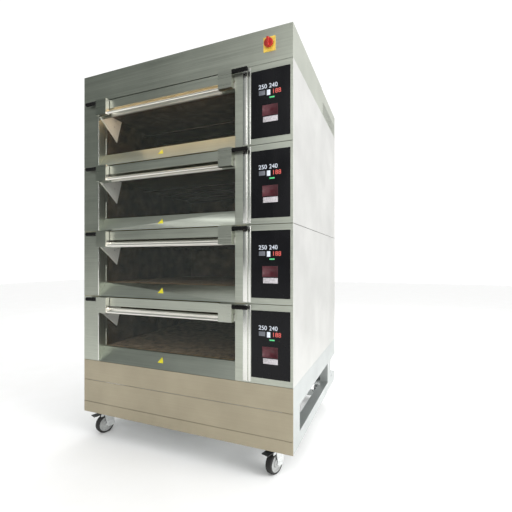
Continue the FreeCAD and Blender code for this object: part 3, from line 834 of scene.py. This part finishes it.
# %% Sill signs
fresh()
bpy.ops.mesh.primitive_circle_add(vertices=3, radius=21 * MM, fill_type="NGON")
sign = bpy.context.object
sign.name = "sign_master"
bpy.ops.object.mode_set(mode="EDIT")
bpy.ops.mesh.select_all(action="SELECT")
bpy.ops.mesh.extrude_region_move(TRANSFORM_OT_translate={"value": (0, 0, 0.5 * MM)})
bpy.ops.mesh.select_all(action="SELECT")
bpy.ops.mesh.normals_make_consistent(inside=False)
bpy.ops.mesh.bevel(offset=0.15 * MM, segments=2, affect="EDGES")
bpy.ops.object.mode_set(mode="OBJECT")
sign_yellow = moulded("yellow_enamelled_sign", "efe43a", 0.4)
SILL_RUN, SILL_RISE = 46 * MM, 73 * MM
SIGN_X, SIGN_ALONG, SIGN_PROUD = -100 * MM, 0.5, 0.2 * MM
slope = math.atan2(SILL_RISE, SILL_RUN)
for deck in DECKS:
    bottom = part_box(f"deck_{deck}_sill")[0][2]
    place = Vector((SIGN_X, front_y + SILL_RUN * SIGN_ALONG, bottom + SILL_RISE * SIGN_ALONG))
    place += Vector((0, -math.sin(slope), math.cos(slope))) * SIGN_PROUD
    tag = copy_at(sign, place, (slope, 0, 0))
    finish_piece(merge(f"deck_{deck}_blank_sign", [tag]), sign_yellow, "oven")
drop(sign)

# %% [markdown]
# ## Main switch
# A round red disc with a raised turning bar, on a yellow plate with a rim.

# %% Main switch
low, high = [Vector(corner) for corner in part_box("switch_knob")]
knob_at = Vector(((low.x + high.x) / 2, high.y, (low.z + high.z) / 2))
depth = high.y - low.y
radius = (high.x - low.x) / 2
disc = turn_up(
    "knob_disc",
    [
        (depth * 0.3, radius * 0.96),
        (depth * 0.34, radius),
        (depth * 0.58, radius),
        (depth * 0.64, radius * 0.9),
    ],
    48,
)
disc = copy_at(disc, knob_at, AXIS_FRONT)
bar = plate(
    "knob_bar",
    (knob_at.x - radius * 0.26, low.y, knob_at.z - radius * 0.9),
    (knob_at.x + radius * 0.26, knob_at.y - depth * 0.5, knob_at.z + radius * 0.9),
    1.6 * MM,
    4,
)
knob = merge("switch_turning_knob", [disc, bar])
finish_piece(knob, red_abs, "switch_knob_body", ["switch_knob"])
drop(bpy.data.objects["knob_disc"])

# %% [markdown]
# ## Screws, nuts and louvres
# The small fixings are turned heads, drawn once each. The rear cover has two
# columns of pressed louvres and a blank plate.

# %% Fixings
screw = turn_up(
    "screw_master",
    [(0, 4 * MM), (0.4 * MM, 4 * MM), (0.8 * MM, 3.2 * MM), (0.95 * MM, 1.6 * MM), (0.6 * MM, 1.5 * MM)],
    20,
)
nut = turn_up(
    "nut_master",
    [(0, 8 * MM), (5 * MM, 8 * MM), (6 * MM, 7 * MM), (6 * MM, 4.2 * MM), (5 * MM, 4 * MM)],
    6,
)
BEARING_THICK = 4 * MM
BEARING_SCREWS = ((60, 62), (120, 62), (110, 100))
COVER_SCREW_X, COVER_SCREW_START, COVER_SCREW_PITCH = 0.59, 0.03, 0.27
NUT_X, NUT_Y, NUT_SINK = 40 * MM, 31 * MM, 5 * MM
bearing_low, bearing_high = [Vector(corner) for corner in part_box("door_bearings")]
heads = []
for deck in DECKS:
    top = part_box(f"deck_{deck}_front")[1][2]
    for x, turn in (
        (bearing_low.x + BEARING_THICK, AXIS_X),
        (bearing_high.x - BEARING_THICK, (0, math.radians(-90), 0)),
    ):
        for behind, down in BEARING_SCREWS:
            heads.append(copy_at(screw, (x, front_y + behind * MM, top - down * MM), turn))
finish_piece(merge("bearing_plate_screws", heads), zinc_plate, "oven")
heads = []
for z_step in range(6):
    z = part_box("rear_cover")[0][2] + COVER_SCREW_START + z_step * COVER_SCREW_PITCH
    for x in (-COVER_SCREW_X, COVER_SCREW_X):
        heads.append(copy_at(screw, (x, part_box("rear_cover")[1][1], z), AXIS_BACK))
finish_piece(merge("rear_cover_screws", heads), zinc_plate, "oven")
nuts = []
nut_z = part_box("base_frame")[0][2] - NUT_SINK
for corner in ("front_left", "front_right", "rear_left", "rear_right"):
    joint = joints[f"swivel_{corner}"]
    x, y = joint["pos_m"][0], joint["pos_m"][1]
    for sx in (-1, 1):
        for sy in (-1, 1):
            spot = (x + sx * NUT_X, y + sy * NUT_Y, nut_z)
            nuts.append(copy_at(nut, spot, (math.radians(180), 0, 0)))
finish_piece(merge("caster_plate_nuts", nuts), zinc_plate, "oven")
print("caster plate nuts", len(nuts))

# %% Rear louvres
back_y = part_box("rear_cover")[1][1]
LOUVRE_ROWS, LOUVRE_START, LOUVRE_PITCH, LOUVRE_TILT = 14, 1.15, 0.026, math.radians(35)
louvre = plate("louvre_master", (-0.11, -8 * MM, -5 * MM), (0.11, 8 * MM, 5 * MM), 3 * MM, 4)
louvres = []
for column in (-0.28, 0.28):
    for row in range(LOUVRE_ROWS):
        spot = (column, back_y, LOUVRE_START + row * LOUVRE_PITCH)
        louvres.append(copy_at(louvre, spot, (LOUVRE_TILT, 0, 0)))
louvre_set = merge("rear_louvres", louvres)
finish_piece(louvre_set, casing_steel, "oven")
blank = plate(
    "rear_blank_plate",
    (-0.045, back_y - 0.2 * MM, 0.9),
    (0.045, back_y + 0.8 * MM, 0.96),
    0.3 * MM,
)
press(blank, (0, 1, 0), 3 * MM, -0.3 * MM)
finish_piece(blank, casing_steel, "oven")
drop(louvre)
drop(nut)
drop(screw)

# %% [markdown]
# ## Cable gland
# A nylon gland is a turned barrel with a waist and a smaller cap, bored through
# for the cable.

# %% Cable gland
low, high = [Vector(corner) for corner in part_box("cable_gland")]
reach = high.y - low.y
half = (high.x - low.x) / 2
GLAND_BORE = 7 * MM
barrel = [(0, GLAND_BORE), (0, half * 0.95), (reach * 0.3, half * 0.95), (reach * 0.36, half * 0.8)]
barrel += [(reach * 0.5, half * 0.8), (reach * 0.55, half * 0.9), (reach * 0.9, half * 0.86)]
barrel += [(reach, half * 0.62), (reach, GLAND_BORE), (0, GLAND_BORE)]
gland = turn_up("gland_master", barrel, 48)
cap = copy_at(gland, ((low.x + high.x) / 2, low.y, (low.z + high.z) / 2), AXIS_BACK)
finish_piece(merge("nylon_cable_gland", [cap]), black_nylon, "oven", ["cable_gland"])
drop(gland)
print("gland", round(reach / MM, 1), "mm long")

# %% [markdown]
# ## Floor, light and camera
# Brushed steel shows what is around it more than its own colour. The studio is
# a white room whose left front corner is dim, so the casing falls from light at
# the right to a darker grey at the left. A large softbox lights the right side.

# %% Stage
bpy.ops.object.select_all(action="DESELECT")
bpy.ops.mesh.primitive_plane_add(size=30, location=(0, 0, 0))
floor = bpy.context.object
floor.name = "studio_floor"
floor_paint = mottled("pale_studio_floor", [(0.3, "fcfcfb"), (0.7, "ffffff")], 300 * MM, 0.9, bump=0.02)
floor.data.materials.append(floor_paint)

WORLD_STRENGTH = 1.1
bpy.context.scene.view_settings.view_transform = "Standard"
world = bpy.data.worlds.new("studio")
bpy.context.scene.world = world
world.use_nodes = True
room = world.node_tree
way = room.nodes.new("ShaderNodeTexCoord")
split = room.nodes.new("ShaderNodeSeparateXYZ")
room.links.new(way.outputs["Generated"], split.inputs["Vector"])


def soft_step(source, start, end):
    """0 before start and 1 after end, smoothly."""
    step = room.nodes.new("ShaderNodeMapRange")
    step.interpolation_type = "SMOOTHSTEP"
    step.inputs["From Min"].default_value = start
    step.inputs["From Max"].default_value = end
    room.links.new(source, step.inputs["Value"])
    return step.outputs["Result"]


front_side = soft_step(split.outputs["Y"], 0.05, -0.45)
left_side = soft_step(split.outputs["X"], 0.3, -0.7)
shadow = room.nodes.new("ShaderNodeMath")
shadow.operation = "MULTIPLY"
room.links.new(front_side, shadow.inputs[0])
room.links.new(left_side, shadow.inputs[1])
tone = room.nodes.new("ShaderNodeMix")
tone.data_type = "RGBA"
tone.inputs["A"].default_value = linear("ffffff")
tone.inputs["B"].default_value = linear("525a56")
room.links.new(shadow.outputs["Value"], tone.inputs["Factor"])
room.links.new(tone.outputs["Result"], room.nodes["Background"].inputs["Color"])
room.nodes["Background"].inputs["Strength"].default_value = WORLD_STRENGTH


def softbox(name, place, target, size, power):
    """A square area light aimed at a point."""
    lamp = bpy.data.lights.new(name, "AREA")
    lamp.size = size
    lamp.energy = power
    rig = bpy.data.objects.new(name, lamp)
    bpy.context.scene.collection.objects.link(rig)
    rig.location = place
    aim = Vector(target) - Vector(place)
    rig.rotation_euler = aim.to_track_quat("-Z", "Y").to_euler()
    return rig


middle = Vector((0, 0, cad_high[2] / 2))
softbox("right_softbox", (4.2, -0.6, 1.9), middle, 2.4, 150)
softbox("front_softbox", (0.6, -4.5, 2.8), middle, 2.0, 25)
softbox("rear_softbox", (-1.5, 4.5, 3.0), middle, 2.4, 40)

eye = bpy.data.cameras.new("camera")
eye.lens = 24.28
eye.shift_y = 0.011
camera = bpy.data.objects.new("camera", eye)
bpy.context.scene.collection.objects.link(camera)
camera.location = (1.024, front_y - 1.439, 0.973)
camera.rotation_euler = (math.radians(90), 0, math.radians(22.19))
bpy.context.scene.camera = camera
